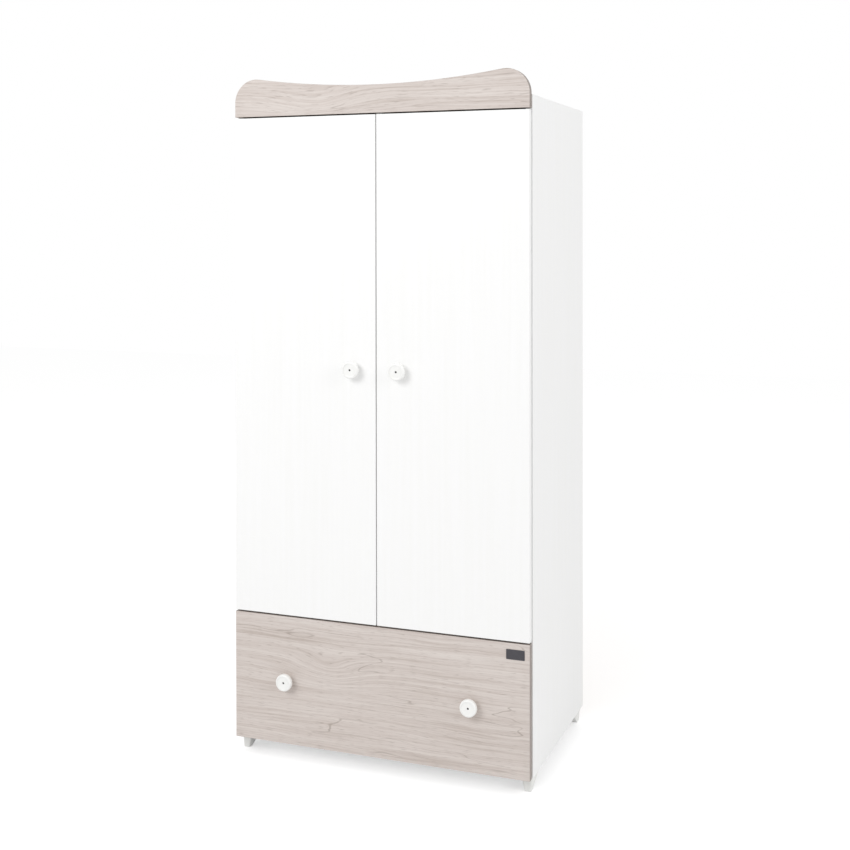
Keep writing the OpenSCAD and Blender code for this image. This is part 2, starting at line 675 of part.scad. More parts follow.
module drawer_side(s) color(WHITE) difference() {
    on_side(s) block([box_in, y_door_back, z_drawer], [box_x, y_box_rear, z_drawer + drawer_side_h]);
    on_side(s) block([box_in - cut, y_door_back - cut, z_sheet - slack],
        [box_in + groove_depth + slack, y_box_rear + cut, z_sheet + back_t + slack]);
    cam_bores([for (c = drawer_cams) if (c[0].x * s > 0) c], drawer_t / 2);
    dowel_set([for (d = drawer_dowels) if (d[0].x * s > 0) d], dowel_side, fit);
    euro_holes([for (e = drawer_euros) if (e[0].x * s > 0) e]);
    screw_holes([for (p = under_screws) if (p[0].x * s > 0) p]);
}

module drawer_back() color(WHITE) difference() {
    block([-box_in, y_box_rear - drawer_t, z_box_back], [box_in, y_box_rear, z_drawer + drawer_side_h]);
    euro_holes(drawer_euros);
}

module drawer_bottom() color(WHITE)
    block([-box_in - groove_depth, y_door_back - groove_depth, z_sheet],
        [box_in + groove_depth, y_box_rear - 0.5, z_sheet + back_t]);

module drawer_fittings() {
    color(ZINC) cam_set(drawer_cams, drawer_t / 2);
    color(ZINC) for (c = drawer_cams) cam_bolt(c);
    color(BEECH) dowel_set(drawer_dowels, dowel_side - 1);
}

module drawer_screws() color(ZINC) {
    euro_screws(drawer_euros);
    wood_screws(under_screws);
    for (s = [-1, 1]) machine_screw(knob_screw(s * drawer_knob_x, drawer_mid_z));
}

module drawer_bumpers() for (s = [-1, 1]) color("gainsboro")
    aim([s * (inner_x + board_t / 2), y_door_back, z_base + drawer_front_h - bumper_end], [0, 1, 0])
        cylinder(r = bumper_r, h = standoff - seat);

module front_plate() color(CHARCOAL) translate([front_x - plate_from_edge - plate_size.x,
    y_face - plate_size.y, z_base + drawer_front_h - plate_from_top - plate_size.z]) cube(plate_size);

// ---------------------------------------------------------------- runners
// Channel on the carcass, with the front roller's axle.
module cabinet_runner(s) color(WHITE) difference() {
    on_side(s) {
        y0 = y_front + runner_set;
        block([inner_x - sheet, y0, z_runner], [inner_x, y0 + runner_l, z_runner + runner_h]);
        block([inner_x - tread, y0, z_runner], [inner_x, y0 + runner_l, z_runner + sheet]);
        block([inner_x - lip, y0, z_runner + runner_h - sheet],
            [inner_x, y0 + runner_l, z_runner + runner_h]);
        aim([inner_x - sheet, front_axle_y, z_front_axle], [-1, 0, 0])
            cylinder(r = axle_r, h = tread - sheet);
    }
    screw_holes([for (p = cabinet_runner_screws) if (p[1].x * s > 0) p]);
}

// Steel under and beside the drawer side, with the rear roller's axle.
module drawer_runner(s) color(WHITE) difference() {
    on_side(s) {
        y0 = y_front + runner_set;
        block([box_x, y0, z_drawer_steel], [box_x + sheet, y_box_rear, z_track + sheet]);
        block([box_x - runner_under, y0, z_drawer_steel], [box_x + sheet, y_box_rear, z_drawer]);
        block([box_x, y0, z_track], [inner_x - lip - 0.6, y_box_rear, z_track + sheet]);
        aim([box_x + sheet, rear_axle_y, z_rear_axle], [1, 0, 0])
            cylinder(r = axle_r, h = runner_gap - sheet - roller_x + 0.2);
    }
    screw_holes([for (p = under_screws) if (p[0].x * s > 0) p]);
}

module roller(s, y, z) color(NYLON) on_side(s) aim([inner_x - roller_x, y, z], [-1, 0, 0]) difference() {
    cylinder(r = roller_r, h = roller_w, $fn = 96);
    translate([0, 0, -cut]) cylinder(r = axle_r + running, h = roller_w + 2 * cut);
}
module front_roller(s) roller(s, front_axle_y, z_front_axle);
module rear_roller(s) roller(s, rear_axle_y, z_rear_axle);

// ---------------------------------------------------------------- fixings and wall bracket
module cam_locks() color(ZINC) cam_set(carcass_cams, board_t / 2);
module cam_bolts() color(ZINC) for (c = carcass_cams) cam_bolt(c);
module dowels() color(BEECH) {
    dowel_set(carcass_dowels, dowel_side);
    dowel_set(partition_dowels, min(dowel_side, board_t - 4));
}
module carcass_screws() color(ZINC) {
    wood_screws(concat(plate_screws, arm_screws, cabinet_runner_screws,
        bracket_screws, socket_screws, foot_screws, wall_screws));
    euro_screws(concat(top_euros, deck_euros));
}

module wall_bracket() color(ZINC) difference() {
    union() {
        block([-wall_w / 2, y_rear - wall_leg, z_top], [wall_w / 2, y_rear, z_top + wall_t]);
        block([-wall_w / 2, y_rear - wall_t, z_top], [wall_w / 2, y_rear, z_top + wall_leg]);
    }
    aim([0, y_rear + cut, z_top + wall_hole_z], [0, -1, 0]) cylinder(r = wall_hole_r, h = wall_t + 2 * cut);
    screw_holes(wall_screws);
}

side_panel(-1);  // side_panel_left
side_panel(1);  // side_panel_right
top_panel();
bottom_panel();
fixed_shelf();
centre_partition();
back_panel(-1);  // back_panel_left
back_panel(1);  // back_panel_right
back_joining_strip();
cornice();
cornice_brackets();
foot(-1, -1);  // foot_front_left
foot(1, -1);  // foot_front_right
foot(-1, 1);  // foot_rear_left
foot(1, 1);  // foot_rear_right
shelf_left(0);  // shelf_left_1
shelf_left(1);  // shelf_left_2
shelf_left(2);  // shelf_left_3
hat_shelf();
shelf_pins();
hanging_rail();
rail_sockets();
hinge_plates();
hinge_arms();
cabinet_runner(-1);  // cabinet_runner_left
cabinet_runner(1);  // cabinet_runner_right
cam_locks();
cam_bolts();
dowels();
carcass_screws();
wall_bracket();
door_panel(-1);  // door_panel_left
hinge_cups(-1);  // hinge_cups_left
hinge_pins(-1);  // hinge_pins_left
door_screws(-1);  // door_screws_left
knob(-door_knob_x, z_door_mid);  // door_knob_left
door_bumpers(-1);  // door_bumpers_left
door_panel(1);  // door_panel_right
hinge_cups(1);  // hinge_cups_right
hinge_pins(1);  // hinge_pins_right
door_screws(1);  // door_screws_right
knob(door_knob_x, z_door_mid);  // door_knob_right
door_bumpers(1);  // door_bumpers_right
drawer_front();
drawer_side(-1);  // drawer_side_left
drawer_side(1);  // drawer_side_right
drawer_back();
drawer_bottom();
drawer_runner(-1);  // drawer_runner_left
drawer_runner(1);  // drawer_runner_right
knob(-drawer_knob_x, drawer_mid_z);  // drawer_knob_left
knob(drawer_knob_x, drawer_mid_z);  // drawer_knob_right
drawer_screws();
drawer_fittings();
drawer_bumpers();
front_plate();
front_roller(-1);  // front_roller_left
front_roller(1);  // front_roller_right
rear_roller(-1);  // rear_roller_left
rear_roller(1);  // rear_roller_right
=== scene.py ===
import json
import math

import bmesh
import bpy
import numpy as np
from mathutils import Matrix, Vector


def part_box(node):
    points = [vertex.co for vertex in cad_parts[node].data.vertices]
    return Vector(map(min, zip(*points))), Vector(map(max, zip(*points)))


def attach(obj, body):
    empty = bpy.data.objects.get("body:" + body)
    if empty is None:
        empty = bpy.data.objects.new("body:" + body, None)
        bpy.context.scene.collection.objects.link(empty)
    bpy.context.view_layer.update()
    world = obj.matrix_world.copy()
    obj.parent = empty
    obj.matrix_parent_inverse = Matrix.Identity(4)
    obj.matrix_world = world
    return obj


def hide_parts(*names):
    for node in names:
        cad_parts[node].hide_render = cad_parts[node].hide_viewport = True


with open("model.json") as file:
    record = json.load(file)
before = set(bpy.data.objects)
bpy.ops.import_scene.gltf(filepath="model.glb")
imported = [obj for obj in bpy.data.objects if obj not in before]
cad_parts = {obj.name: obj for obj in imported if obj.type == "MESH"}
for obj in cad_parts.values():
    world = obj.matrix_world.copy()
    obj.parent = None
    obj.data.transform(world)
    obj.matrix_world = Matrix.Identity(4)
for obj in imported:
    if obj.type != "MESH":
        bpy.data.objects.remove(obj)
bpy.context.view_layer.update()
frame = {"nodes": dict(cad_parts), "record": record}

# ---------------------------------------------------------------- view and room
# The wardrobe stands on a pale studio floor in soft light from the front left.
# The camera looks square at the wall and is shifted down, so uprights stay upright.
view = bpy.context.scene.view_settings
view.view_transform = "Standard"
front_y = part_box("door_panel_left")[0].y
base_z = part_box("side_panel_right")[0].z

camera = bpy.data.objects.new("camera", bpy.data.cameras.new("camera"))
bpy.context.scene.collection.objects.link(camera)
bpy.context.scene.camera = camera
camera.data.sensor_width = 36
camera.data.lens = 53.97
camera.data.shift_x = -0.0078
camera.data.shift_y = -0.2227
camera.location = (1.2885, front_y - 3.0369, base_z + 1.3822)
camera.rotation_euler = (math.radians(90 - 0.473), math.radians(0.078), math.radians(20.48))


def shader_node(tree, kind, inputs=None, **settings):
    """Adds a node, gives it its settings, and links or fills the named inputs."""
    made = tree.nodes.new(kind)
    for key, value in settings.items():
        setattr(made, key, value)
    for key, value in (inputs or {}).items():
        if isinstance(value, bpy.types.NodeSocket):
            tree.links.new(value, made.inputs[key])
        else:
            made.inputs[key].default_value = value
    return made


def seen_white(tree):
    """1 for the rays that see the backdrop, straight, in a gloss or through glass."""
    path = shader_node(tree, "ShaderNodeLightPath").outputs
    both = shader_node(tree, "ShaderNodeMath", {0: path["Is Camera Ray"], 1: path["Is Glossy Ray"]},
                       operation="MAXIMUM").outputs[0]
    return shader_node(tree, "ShaderNodeMath", {0: both, 1: path["Is Transmission Ray"]},
                       operation="MAXIMUM").outputs[0]


world = bpy.data.worlds.new("room")
bpy.context.scene.world = world
world.use_nodes = True
room = world.node_tree
sky = room.nodes["Background"]
sky.inputs["Color"].default_value = (1, 1, 1, 1)
room_light = 0.66
strength = shader_node(room, "ShaderNodeMapRange",
                       {"Value": seen_white(room), "To Min": room_light, "To Max": 1.0})
room.links.new(strength.outputs[0], sky.inputs["Strength"])


def softbox(name, size, power, place, target):
    """A square area lamp that looks from place to target."""
    lamp = bpy.data.objects.new(name, bpy.data.lights.new(name, "AREA"))
    bpy.context.scene.collection.objects.link(lamp)
    lamp.data.size = size
    lamp.data.energy = power
    lamp.location = place
    lamp.rotation_euler = (Vector(target) - Vector(place)).to_track_quat("-Z", "Y").to_euler()


softbox("key", 2.6, 95, (-1.9, -4.6, 3.4), (0, 0, 0.9))
softbox("side", 2.4, 42, (4.2, -1.2, 2.6), (0.4, 0, 1.2))

floor_mesh = bpy.data.meshes.new("floor")
floor_mesh.from_pydata([(-9, -9, 0), (9, -9, 0), (9, 9, 0), (-9, 9, 0)], [], [(0, 1, 2, 3)])
floor = bpy.data.objects.new("floor", floor_mesh)
bpy.context.scene.collection.objects.link(floor)
floor_paint = bpy.data.materials.new("pale_floor")
floor_paint.use_nodes = True
tree = floor_paint.node_tree
tree.nodes.clear()
matt = shader_node(tree, "ShaderNodeBsdfDiffuse", {"Color": (0.8, 0.8, 0.8, 1)})
lift = shader_node(tree, "ShaderNodeEmission", {"Color": (1, 1, 1, 1), "Strength": 0.455})
nothing = shader_node(tree, "ShaderNodeEmission", {"Color": (0, 0, 0, 1), "Strength": 0.0})
seen = shader_node(tree, "ShaderNodeMixShader",
                   {0: seen_white(tree), 1: nothing.outputs[0], 2: lift.outputs[0]})
both = shader_node(tree, "ShaderNodeAddShader", {0: matt.outputs[0], 1: seen.outputs[0]})
shader_node(tree, "ShaderNodeOutputMaterial", {"Surface": both.outputs[0]})
floor_mesh.materials.append(floor_paint)


# ---------------------------------------------------------------- white boards
# Sides, top, bottom, shelves, partition, doors and drawer box: chipboard faced with white
# melamine paper, with a fine pearl emboss and softly rounded plastic edge bands.
def shade(r, g, b):
    """A display colour from 0 to 255 as the linear colour that the shaders take."""
    part = np.array([r, g, b]) / 255
    linear = np.where(part <= 0.04045, part / 12.92, ((part + 0.055) / 1.055) ** 2.4)
    return (*linear, 1.0)


def finish(name, **sockets):
    """A new material, its node tree and its main shader, with constant sockets filled."""
    made = bpy.data.materials.new(name)
    made.use_nodes = True
    main = made.node_tree.nodes["Principled BSDF"]
    for key, value in sockets.items():
        main.inputs[key.replace("_", " ")].default_value = value
    return made, made.node_tree, main


def calc(tree, operation, a, b=0.0, c=0.0):
    """One step of arithmetic on sockets or numbers."""
    return shader_node(tree, "ShaderNodeMath", {0: a, 1: b, 2: c}, operation=operation).outputs[0]


def stretched_noise(tree, place, stretch, shift=(0, 0, 0), detail=4.0, roughness=0.5, kind="Fac"):
    """Cloudy noise on a place that is stretched and shifted first."""
    mapped = shader_node(tree, "ShaderNodeMapping", {"Vector": place, "Scale": stretch, "Location": shift})
    noise = shader_node(tree, "ShaderNodeTexNoise", {"Vector": mapped.outputs[0], "Scale": 1.0,
                        "Detail": detail, "Roughness": roughness})
    return noise.outputs[kind]


def tone(tree, value, stops):
    """Turns a value into a colour through stops of (position, colour)."""
    ramp = shader_node(tree, "ShaderNodeValToRGB", {"Fac": value})
    while len(ramp.color_ramp.elements) < len(stops):
        ramp.color_ramp.elements.new(0.5)
    for slot, (position, colour) in zip(ramp.color_ramp.elements, stops):
        slot.position = position
        slot.color = colour
    return ramp.outputs["Color"]


def emboss(tree, main, height, distance, strength=1.0):
    """Raises the surface by a height times a distance in metres."""
    bump = shader_node(tree, "ShaderNodeBump", {"Height": height, "Distance": distance, "Strength": strength})
    tree.links.new(bump.outputs[0], main.inputs["Normal"])


def white_melamine(name, grain):
    """White paper faces: faint fibres drawn out along the grain over a fine pearl emboss."""
    made, tree, main = finish(name, Roughness=0.42, IOR=1.45)
    place = shader_node(tree, "ShaderNodeTexCoord").outputs["Object"]
    fibre = stretched_noise(tree, place, grain, detail=3.0)
    tree.links.new(tone(tree, fibre, [(0.3, shade(251, 251, 250)), (0.7, shade(253, 253, 253))]),
                   main.inputs["Base Color"])
    pearl = stretched_noise(tree, place, (900, 900, 900), detail=1.0)
    emboss(tree, main, calc(tree, "MULTIPLY_ADD", fibre, 0.1, pearl), 0.00002)
    return made


upright_white = white_melamine("white_melamine_upright", (70, 70, 2.2))
level_white = white_melamine("white_melamine_level", (2.2, 70, 70))


def merged_copy(node, name):
    """A copy of a CAD node with its loose triangles joined into faces."""
    made = bpy.data.objects.new(name, frame["nodes"][node].data.copy())
    bpy.context.scene.collection.objects.link(made)
    made.data.materials.clear()
    solid = bmesh.new()
    solid.from_mesh(made.data)
    bmesh.ops.remove_doubles(solid, verts=solid.verts, dist=2e-6)
    bmesh.ops.dissolve_limit(solid, angle_limit=math.radians(0.3), verts=solid.verts, edges=solid.edges)
    solid.to_mesh(made.data)
    solid.free()
    return made


def ease_edges(piece, width, shortest, segments=2):
    """Rounds the sharp edges that are at least as long as shortest. Normals weighted by area
    keep the shading of the flat faces beside them flat."""
    solid = bmesh.new()
    solid.from_mesh(piece.data)
    weight = solid.edges.layers.float.new("bevel_weight_edge")
    for edge in solid.edges:
        sharp = len(edge.link_faces) == 2 and edge.calc_face_angle() > math.radians(50)
        edge[weight] = 1.0 if sharp and edge.calc_length() > shortest else 0.0
    solid.to_mesh(piece.data)
    solid.free()
    bevel = piece.modifiers.new("eased_edges", "BEVEL")
    bevel.limit_method = "WEIGHT"
    bevel.width = width
    bevel.segments = segments
    bevel.use_clamp_overlap = False
    level = piece.modifiers.new("flat_faces", "WEIGHTED_NORMAL")
    level.keep_sharp = True
    level.weight = 100
    smooth_by_angle(piece)


def smooth_by_angle(piece, degrees=35):
    """Smooth shading, with the edges sharper than the angle kept crisp."""
    for face in piece.data.polygons:
        face.use_smooth = True
    piece.data.set_sharp_from_angle(angle=math.radians(degrees))


def stand_for(piece, node):
    """Puts a finished piece in the place of its CAD node, on the same body."""
    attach(piece, body_of[node])
    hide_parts(node)


body_of = {node: body for body, nodes in frame["record"]["behaviour"]["bodies"].items() for node in nodes}
edge_round = 0.0008
board_finish = {
    upright_white: ["side_panel_left", "side_panel_right", "centre_partition",
                    "door_panel_left", "door_panel_right"],
    level_white: ["top_panel", "bottom_panel", "fixed_shelf", "shelf_left_1", "shelf_left_2",
                  "shelf_left_3", "hat_shelf", "drawer_side_left", "drawer_side_right", "drawer_back"],
}
for paper, nodes in board_finish.items():
    for node in nodes:
        board = merged_copy(node, node + "_board")
        board.data.materials.append(paper)
        ease_edges(board, edge_round, 0.010)
        stand_for(board, node)


# ---------------------------------------------------------------- oak boards
# The cornice and the drawer front: chipboard faced with a whitewashed oak print whose grain
# runs across the wardrobe, and closed all round with a plain taupe edge band.
def limed_oak(name, eye, slide):
    """Grain lines are level curves of a height warped by soft noise and by one eye in the figure."""
    made, tree, main = finish(name, Roughness=0.5, IOR=1.45)
    place = shader_node(tree, "ShaderNodeTexCoord").outputs["Object"]
    axes = shader_node(tree, "ShaderNodeSeparateXYZ", {0: place}).outputs
    soft = stretched_noise(tree, place, (2.1, 0, 11), (slide, 0, 0), detail=2.0)
    ripple = stretched_noise(tree, place, (16, 0, 26), (slide, 0, 0), detail=2.0)
    # the eye: a bell of height round one point
    across = calc(tree, "DIVIDE", calc(tree, "SUBTRACT", axes["X"], eye[0]), eye[2])
    along = calc(tree, "DIVIDE", calc(tree, "SUBTRACT", axes["Z"], eye[1]), eye[3])
    ring = calc(tree, "MULTIPLY_ADD", across, across, calc(tree, "MULTIPLY", along, along))
    bell = calc(tree, "POWER", 2.718, calc(tree, "MULTIPLY", ring, -1.0))
    height = calc(tree, "MULTIPLY_ADD", soft, 0.034, axes["Z"])
    height = calc(tree, "MULTIPLY_ADD", bell, eye[4], height)
    rippled = calc(tree, "MULTIPLY", ripple, calc(tree, "ADD", bell, 0.25))
    height = calc(tree, "MULTIPLY_ADD", rippled, 0.006, height)
    flow = shader_node(tree, "ShaderNodeCombineXYZ", {"X": axes["X"], "Y": slide, "Z": height}).outputs[0]
    streak = stretched_noise(tree, flow, (2.2, 1, 95), detail=6.0, roughness=0.68)
    line = stretched_noise(tree, flow, (2.4, 1, 260), (3, 0, 0), detail=3.0, roughness=0.6)
    fibre = stretched_noise(tree, flow, (16, 1, 800), (7, 0, 0), detail=3.0, roughness=0.6)
    cloud = stretched_noise(tree, place, (3.5, 0, 5), (slide, 0, 4), detail=2.0)
    value = calc(tree, "MULTIPLY_ADD", line, 0.34, calc(tree, "MULTIPLY", streak, 0.42))
    value = calc(tree, "MULTIPLY_ADD", fibre, 0.16, value)
    value = calc(tree, "MULTIPLY_ADD", cloud, 0.08, value)
    wood = tone(tree, value, [(0.38, shade(190, 178, 170)), (0.45, shade(204, 193, 186)),
                              (0.50, shade(213, 203, 197)), (0.62, shade(225, 217, 211))])
    # long dark veins: one level curve of a slow noise, broken by patches
    slow = stretched_noise(tree, flow, (1.5, 1, 14), (11, 0, 2), detail=3.0, roughness=0.45)
    off = calc(tree, "ABSOLUTE", calc(tree, "SUBTRACT", slow, 0.5))
    vein = shader_node(tree, "ShaderNodeMapRange",
                       {"Value": off, "From Max": 0.005, "To Min": 1.0, "To Max": 0.0},
                       interpolation_type="SMOOTHSTEP").outputs[0]
    patch = stretched_noise(tree, place, (5, 0, 16), (slide, 0, 9), detail=2.0)
    patch = shader_node(tree, "ShaderNodeMapRange",
                        {"Value": patch, "From Min": 0.46, "From Max": 0.60}).outputs[0]
    vein = calc(tree, "MULTIPLY", vein, patch)
    # short pores, drawn out along the grain
    pore = stretched_noise(tree, flow, (34, 1, 620), (5, 0, 1), detail=1.0)
    pore = shader_node(tree, "ShaderNodeMapRange",
                       {"Value": pore, "From Min": 0.60, "From Max": 0.74}).outputs[0]
    dark = calc(tree, "MAXIMUM", calc(tree, "MULTIPLY", vein, 0.62), calc(tree, "MULTIPLY", pore, 0.5))
    mixed = shader_node(tree, "ShaderNodeMix", {"Factor": dark, "A": wood, "B": shade(150, 137, 128)},
                        data_type="RGBA")
    tree.links.new(mixed.outputs["Result"], main.inputs["Base Color"])
    emboss(tree, main, calc(tree, "SUBTRACT", value, dark), 0.00012)
    return made


def edge_band(name, colour):
    """A plain plastic band with a trace of mottling."""
    made, tree, main = finish(name, Roughness=0.45)
    place = shader_node(tree, "ShaderNodeTexCoord").outputs["Object"]
    mottle = stretched_noise(tree, place, (40, 40, 40), detail=3.0)
    dark = tuple(c * 0.9 for c in colour[:3]) + (1.0,)
    tree.links.new(tone(tree, mottle, [(0.35, dark), (0.65, colour)]), main.inputs["Base Color"])
    return made


taupe_band = edge_band("taupe_edge_band", shade(150, 138, 131))
for node, eye, slide in (("drawer_front", (-0.14, 0.253, 0.105, 0.042, 0.034), 0.0),
                         ("cornice", (-0.18, 1.743, 0.12, 0.045, 0.026), 5.3)):
    board = merged_copy(node, node + "_board")
    board.data.materials.append(limed_oak(node + "_oak", eye, slide))
    board.data.materials.append(taupe_band)
    facing = np.empty(len(board.data.polygons) * 3, np.float32)
    board.data.polygons.foreach_get("normal", facing)
    banded = (np.abs(facing.reshape(-1, 3)[:, 1]) < 0.5).astype(np.int32)
    board.data.polygons.foreach_set("material_index", banded)
    ease_edges(board, 0.0006, 0.0012)
    stand_for(board, node)


# ---------------------------------------------------------------- hardboard
# The back of the wardrobe in two halves and the drawer's bottom: 3 mm hardboard, lacquered
# white on the face that shows inside and left raw brown on the other one.
def raw_fibre(name):
    """Pressed brown fibre: a coarse mottle with short pale strands."""
    made, tree, main = finish(name, Roughness=0.8)
    place = shader_node(tree, "ShaderNodeTexCoord").outputs["Object"]
    mottle = stretched_noise(tree, place, (55, 55, 55), detail=6.0, roughness=0.65)
    tree.links.new(tone(tree, mottle, [(0.3, shade(150, 118, 84)), (0.7, shade(184, 150, 112))]),
                   main.inputs["Base Color"])
    emboss(tree, main, mottle, 0.0004)
    return made


raw_board = raw_fibre("raw_hardboard")
for node, raw_side in (("back_panel_left", (0, 1, 0)), ("back_panel_right", (0, 1, 0)),
                       ("drawer_bottom", (0, 0, -1))):
    sheet = merged_copy(node, node + "_sheet")
    sheet.data.materials.append(upright_white)
    sheet.data.materials.append(raw_board)
    facing = np.empty(len(sheet.data.polygons) * 3, np.float32)
    sheet.data.polygons.foreach_get("normal", facing)
    raw = (facing.reshape(-1, 3) @ np.array(raw_side) > -0.5).astype(np.int32)
    sheet.data.polygons.foreach_set("material_index", raw)
    ease_edges(sheet, 0.0003, 0.010, 1)
    stand_for(sheet, node)


# ---------------------------------------------------------------- knobs
# Four turned knobs in white lacquer: a slim neck, a thick disc with a round rim, a slightly
# dished face, and a hole in the middle over the end of the fixing screw. A near-black disc in the
# hole is the dark steel screw end, with painted shade of the deep hole added to its colour.
def turned(name, profile, centre, direction, steps=96):
    """A profile of (radius, height) points carried round an axis through the centre."""
    radius, height = np.array(profile, float).T
    angle = np.linspace(0, 2 * np.pi, steps, endpoint=False)
    ring = np.stack([radius[:, None] * np.cos(angle), radius[:, None] * np.sin(angle),
                     height[:, None] + 0 * angle], axis=-1)
    turn = np.array(Vector(direction).to_track_quat("Z", "Y").to_matrix())
    points = ring.reshape(-1, 3) @ turn.T + np.array(centre)
    return grid_mesh(name, points, len(profile), steps)


def grid_faces(rows, columns):
    """The four-sided faces between the rows of a grid whose columns close on themselves."""
    row, column = np.arange(rows - 1)[:, None] * columns, np.arange(columns)[None, :]
    beside = (column + 1) % columns
    return np.stack([row + column, row + beside, row + columns + beside, row + columns + column],
                    axis=-1).reshape(-1, 4)


def closed_mesh(name, points, faces):
    """A piece from points and faces, with doubles merged and the normals turned outward."""
    mesh = bpy.data.meshes.new(name)
    mesh.from_pydata(points.tolist(), [], faces.tolist())
    made = bpy.data.objects.new(name, mesh)
    bpy.context.scene.collection.objects.link(made)
    solid = bmesh.new()
    solid.from_mesh(mesh)
    bmesh.ops.remove_doubles(solid, verts=solid.verts, dist=2e-6)
    bmesh.ops.recalc_face_normals(solid, faces=solid.faces)
    solid.to_mesh(mesh)
    solid.free()
    smooth_by_angle(made, 40)
    return made


def grid_mesh(name, points, rows, columns):
    """A piece whose points lie in rows that close on themselves."""
    return closed_mesh(name, points, grid_faces(rows, columns))


def arc(cx, cy, r, start, stop, steps):
    """Points of an arc from one angle to another, in degrees."""
    turn = np.radians(np.linspace(start, stop, steps))
    return list(zip(cx + r * np.cos(turn), cy + r * np.sin(turn)))


def lacquer(name, colour, roughness):
    """Sprayed lacquer: even colour with a faint orange-peel skin."""
    made, tree, main = finish(name, Roughness=roughness, Coat_Weight=0.25, Coat_Roughness=0.15)
    place = shader_node(tree, "ShaderNodeTexCoord").outputs["Object"]
    haze = stretched_noise(tree, place, (30, 30, 30), detail=2.0)
    low = tuple(c * 0.975 for c in colour[:3]) + (1.0,)
    tree.links.new(tone(tree, haze, [(0.3, low), (0.7, colour)]), main.inputs["Base Color"])
    emboss(tree, main, stretched_noise(tree, place, (420, 420, 420), detail=1.0), 0.00003)
    return made


knob_white = lacquer("knob_white", shade(250, 250, 248), 0.32)
# near black: the dark steel screw end, darkened further with painted shade of the hole around it
knob_plug = lacquer("knob_plug", shade(44, 42, 42), 0.5)
for node in ("door_knob_left", "door_knob_right", "drawer_knob_left", "drawer_knob_right"):
    low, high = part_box(node)
    radius = (high.x - low.x) / 2
    out = high.y - low.y
    middle = ((low.x + high.x) / 2, high.y, (low.z + high.z) / 2)
    disc, rim, neck = 0.014, 0.0045, 0.009
    back = out - disc
    profile = [(0.0021, 0), (neck + 0.001, 0), *arc(neck + 0.003, back - 0.003, 0.003, 180, 90, 7),
               *arc(radius - rim, back + rim, rim, -90, 0, 9), *arc(radius - rim, out - rim, rim, 0, 90, 9),
               *arc(radius - rim - 0.0011, out - 0.0032, 0.0032, 80, 60, 3)]
    dish = np.linspace(radius - rim - 0.003, 0.0033, 12)
    profile += [(r, out - 0.0012 - 0.0006 * (1 - (r / radius) ** 2)) for r in dish]
    profile += [(0.0028, out - 0.0022), (0.0027, out - 0.0058), (0.0021, out - 0.0058), (0.0021, 0)]
    knob = turned(node + "_lacquered", profile, middle, (0, -1, 0))
    knob.data.materials.append(knob_white)
    stand_for(knob, node)
    # the dark disc in the hole: the screw end, coloured with painted shade of the hole
    screw_end_and_shade_profile = [(0, -0.0004), (0.0026, -0.0004), (0.0026, 0.0012), (0.0021, 0.0016), (0, 0.0016)]
    screw_end_and_shade_disc = turned(node + "_plug", screw_end_and_shade_profile, (middle[0], low.y + 0.0048, middle[2]), (0, -1, 0), 32)
    screw_end_and_shade_disc.data.materials.append(knob_plug)
    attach(screw_end_and_shade_disc, body_of[node])


# ---------------------------------------------------------------- feet
# Four moulded feet in white plastic under the corners. Each is upright on the outside and
# draws in to a small toe, with a thin flange on top that is screwed to the bottom panel.
def superellipse(angle, power):
    """A rounded square of half-width 1: cosine and sine raised to 2/power, with their signs."""
    c, s = np.cos(angle), np.sin(angle)
    return np.sign(c) * np.abs(c) ** (2 / power), np.sign(s) * np.abs(s) ** (2 / power)


foot_plastic = lacquer("foot_plastic", shade(243, 243, 240), 0.4)
for node in ("foot_front_left", "foot_front_right", "foot_rear_left", "foot_rear_right"):
    low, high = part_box(node)
    side = 1 if "right" in node else -1
    way = -1 if "front" in node else 1
    flange = 0.003
    outer_x = high.x if side > 0 else low.x
    outer_y = low.y if way < 0 else high.y
    top_w, top_l = 0.028, high.y - low.y
    toe_w, toe_l, tuck_x, tuck_y = 0.017, 0.022, 0.005, 0.002
    # the share of the way from toe to top grows fast near the floor, so the inner sides bulge
    level = np.concatenate([[0, 0, 0.02], np.linspace(0.06, 1, 22)])
    tight = np.concatenate([[0, 0.94, 0.985], np.ones(22)])
    share = np.sin(level * np.pi / 2) ** 1.15
    width = toe_w + (top_w - toe_w) * share
    length = toe_l + (top_l - toe_l) * share
    tuck = (1 - level)
    angle = np.linspace(0, 2 * np.pi, 96, endpoint=False)
    ex, ey = superellipse(angle, 7.0)
    x = outer_x - side * (tuck_x * tuck + width / 2)[:, None] + (tight * width / 2)[:, None] * ex
    y = outer_y - way * (tuck_y * tuck + length / 2)[:, None] + (tight * length / 2)[:, None] * ey
    z = (low.z + level * (high.z - low.z - flange))[:, None] + 0 * x
    foot = grid_mesh(node + "_moulded", np.stack([x, y, z], axis=-1).reshape(-1, 3), len(level), 96)
    cap = merged_copy(node, node + "_flange")
    solid = bmesh.new()
    solid.from_mesh(foot.data)
    bmesh.ops.holes_fill(solid, edges=solid.edges, sides=0)
    bmesh.ops.recalc_face_normals(solid, faces=solid.faces)
    solid.to_mesh(foot.data)
    solid.free()
    solid = bmesh.new()
    solid.from_mesh(cap.data)
    cutting = bmesh.ops.bisect_plane(solid, geom=solid.verts[:] + solid.edges[:] + solid.faces[:],
                                     plane_co=(0, 0, high.z - flange), plane_no=(0, 0, 1), clear_inner=True)
    rim_edges = [e for e in cutting["geom_cut"] if isinstance(e, bmesh.types.BMEdge)]
    bmesh.ops.triangle_fill(solid, edges=rim_edges, use_beauty=True)
    bmesh.ops.recalc_face_normals(solid, faces=solid.faces)
    solid.to_mesh(cap.data)
    solid.free()
    for piece in (foot, cap):
        piece.data.materials.append(foot_plastic)
        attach(piece, "carcass")
    smooth_by_angle(foot, 40)
    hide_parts(node)


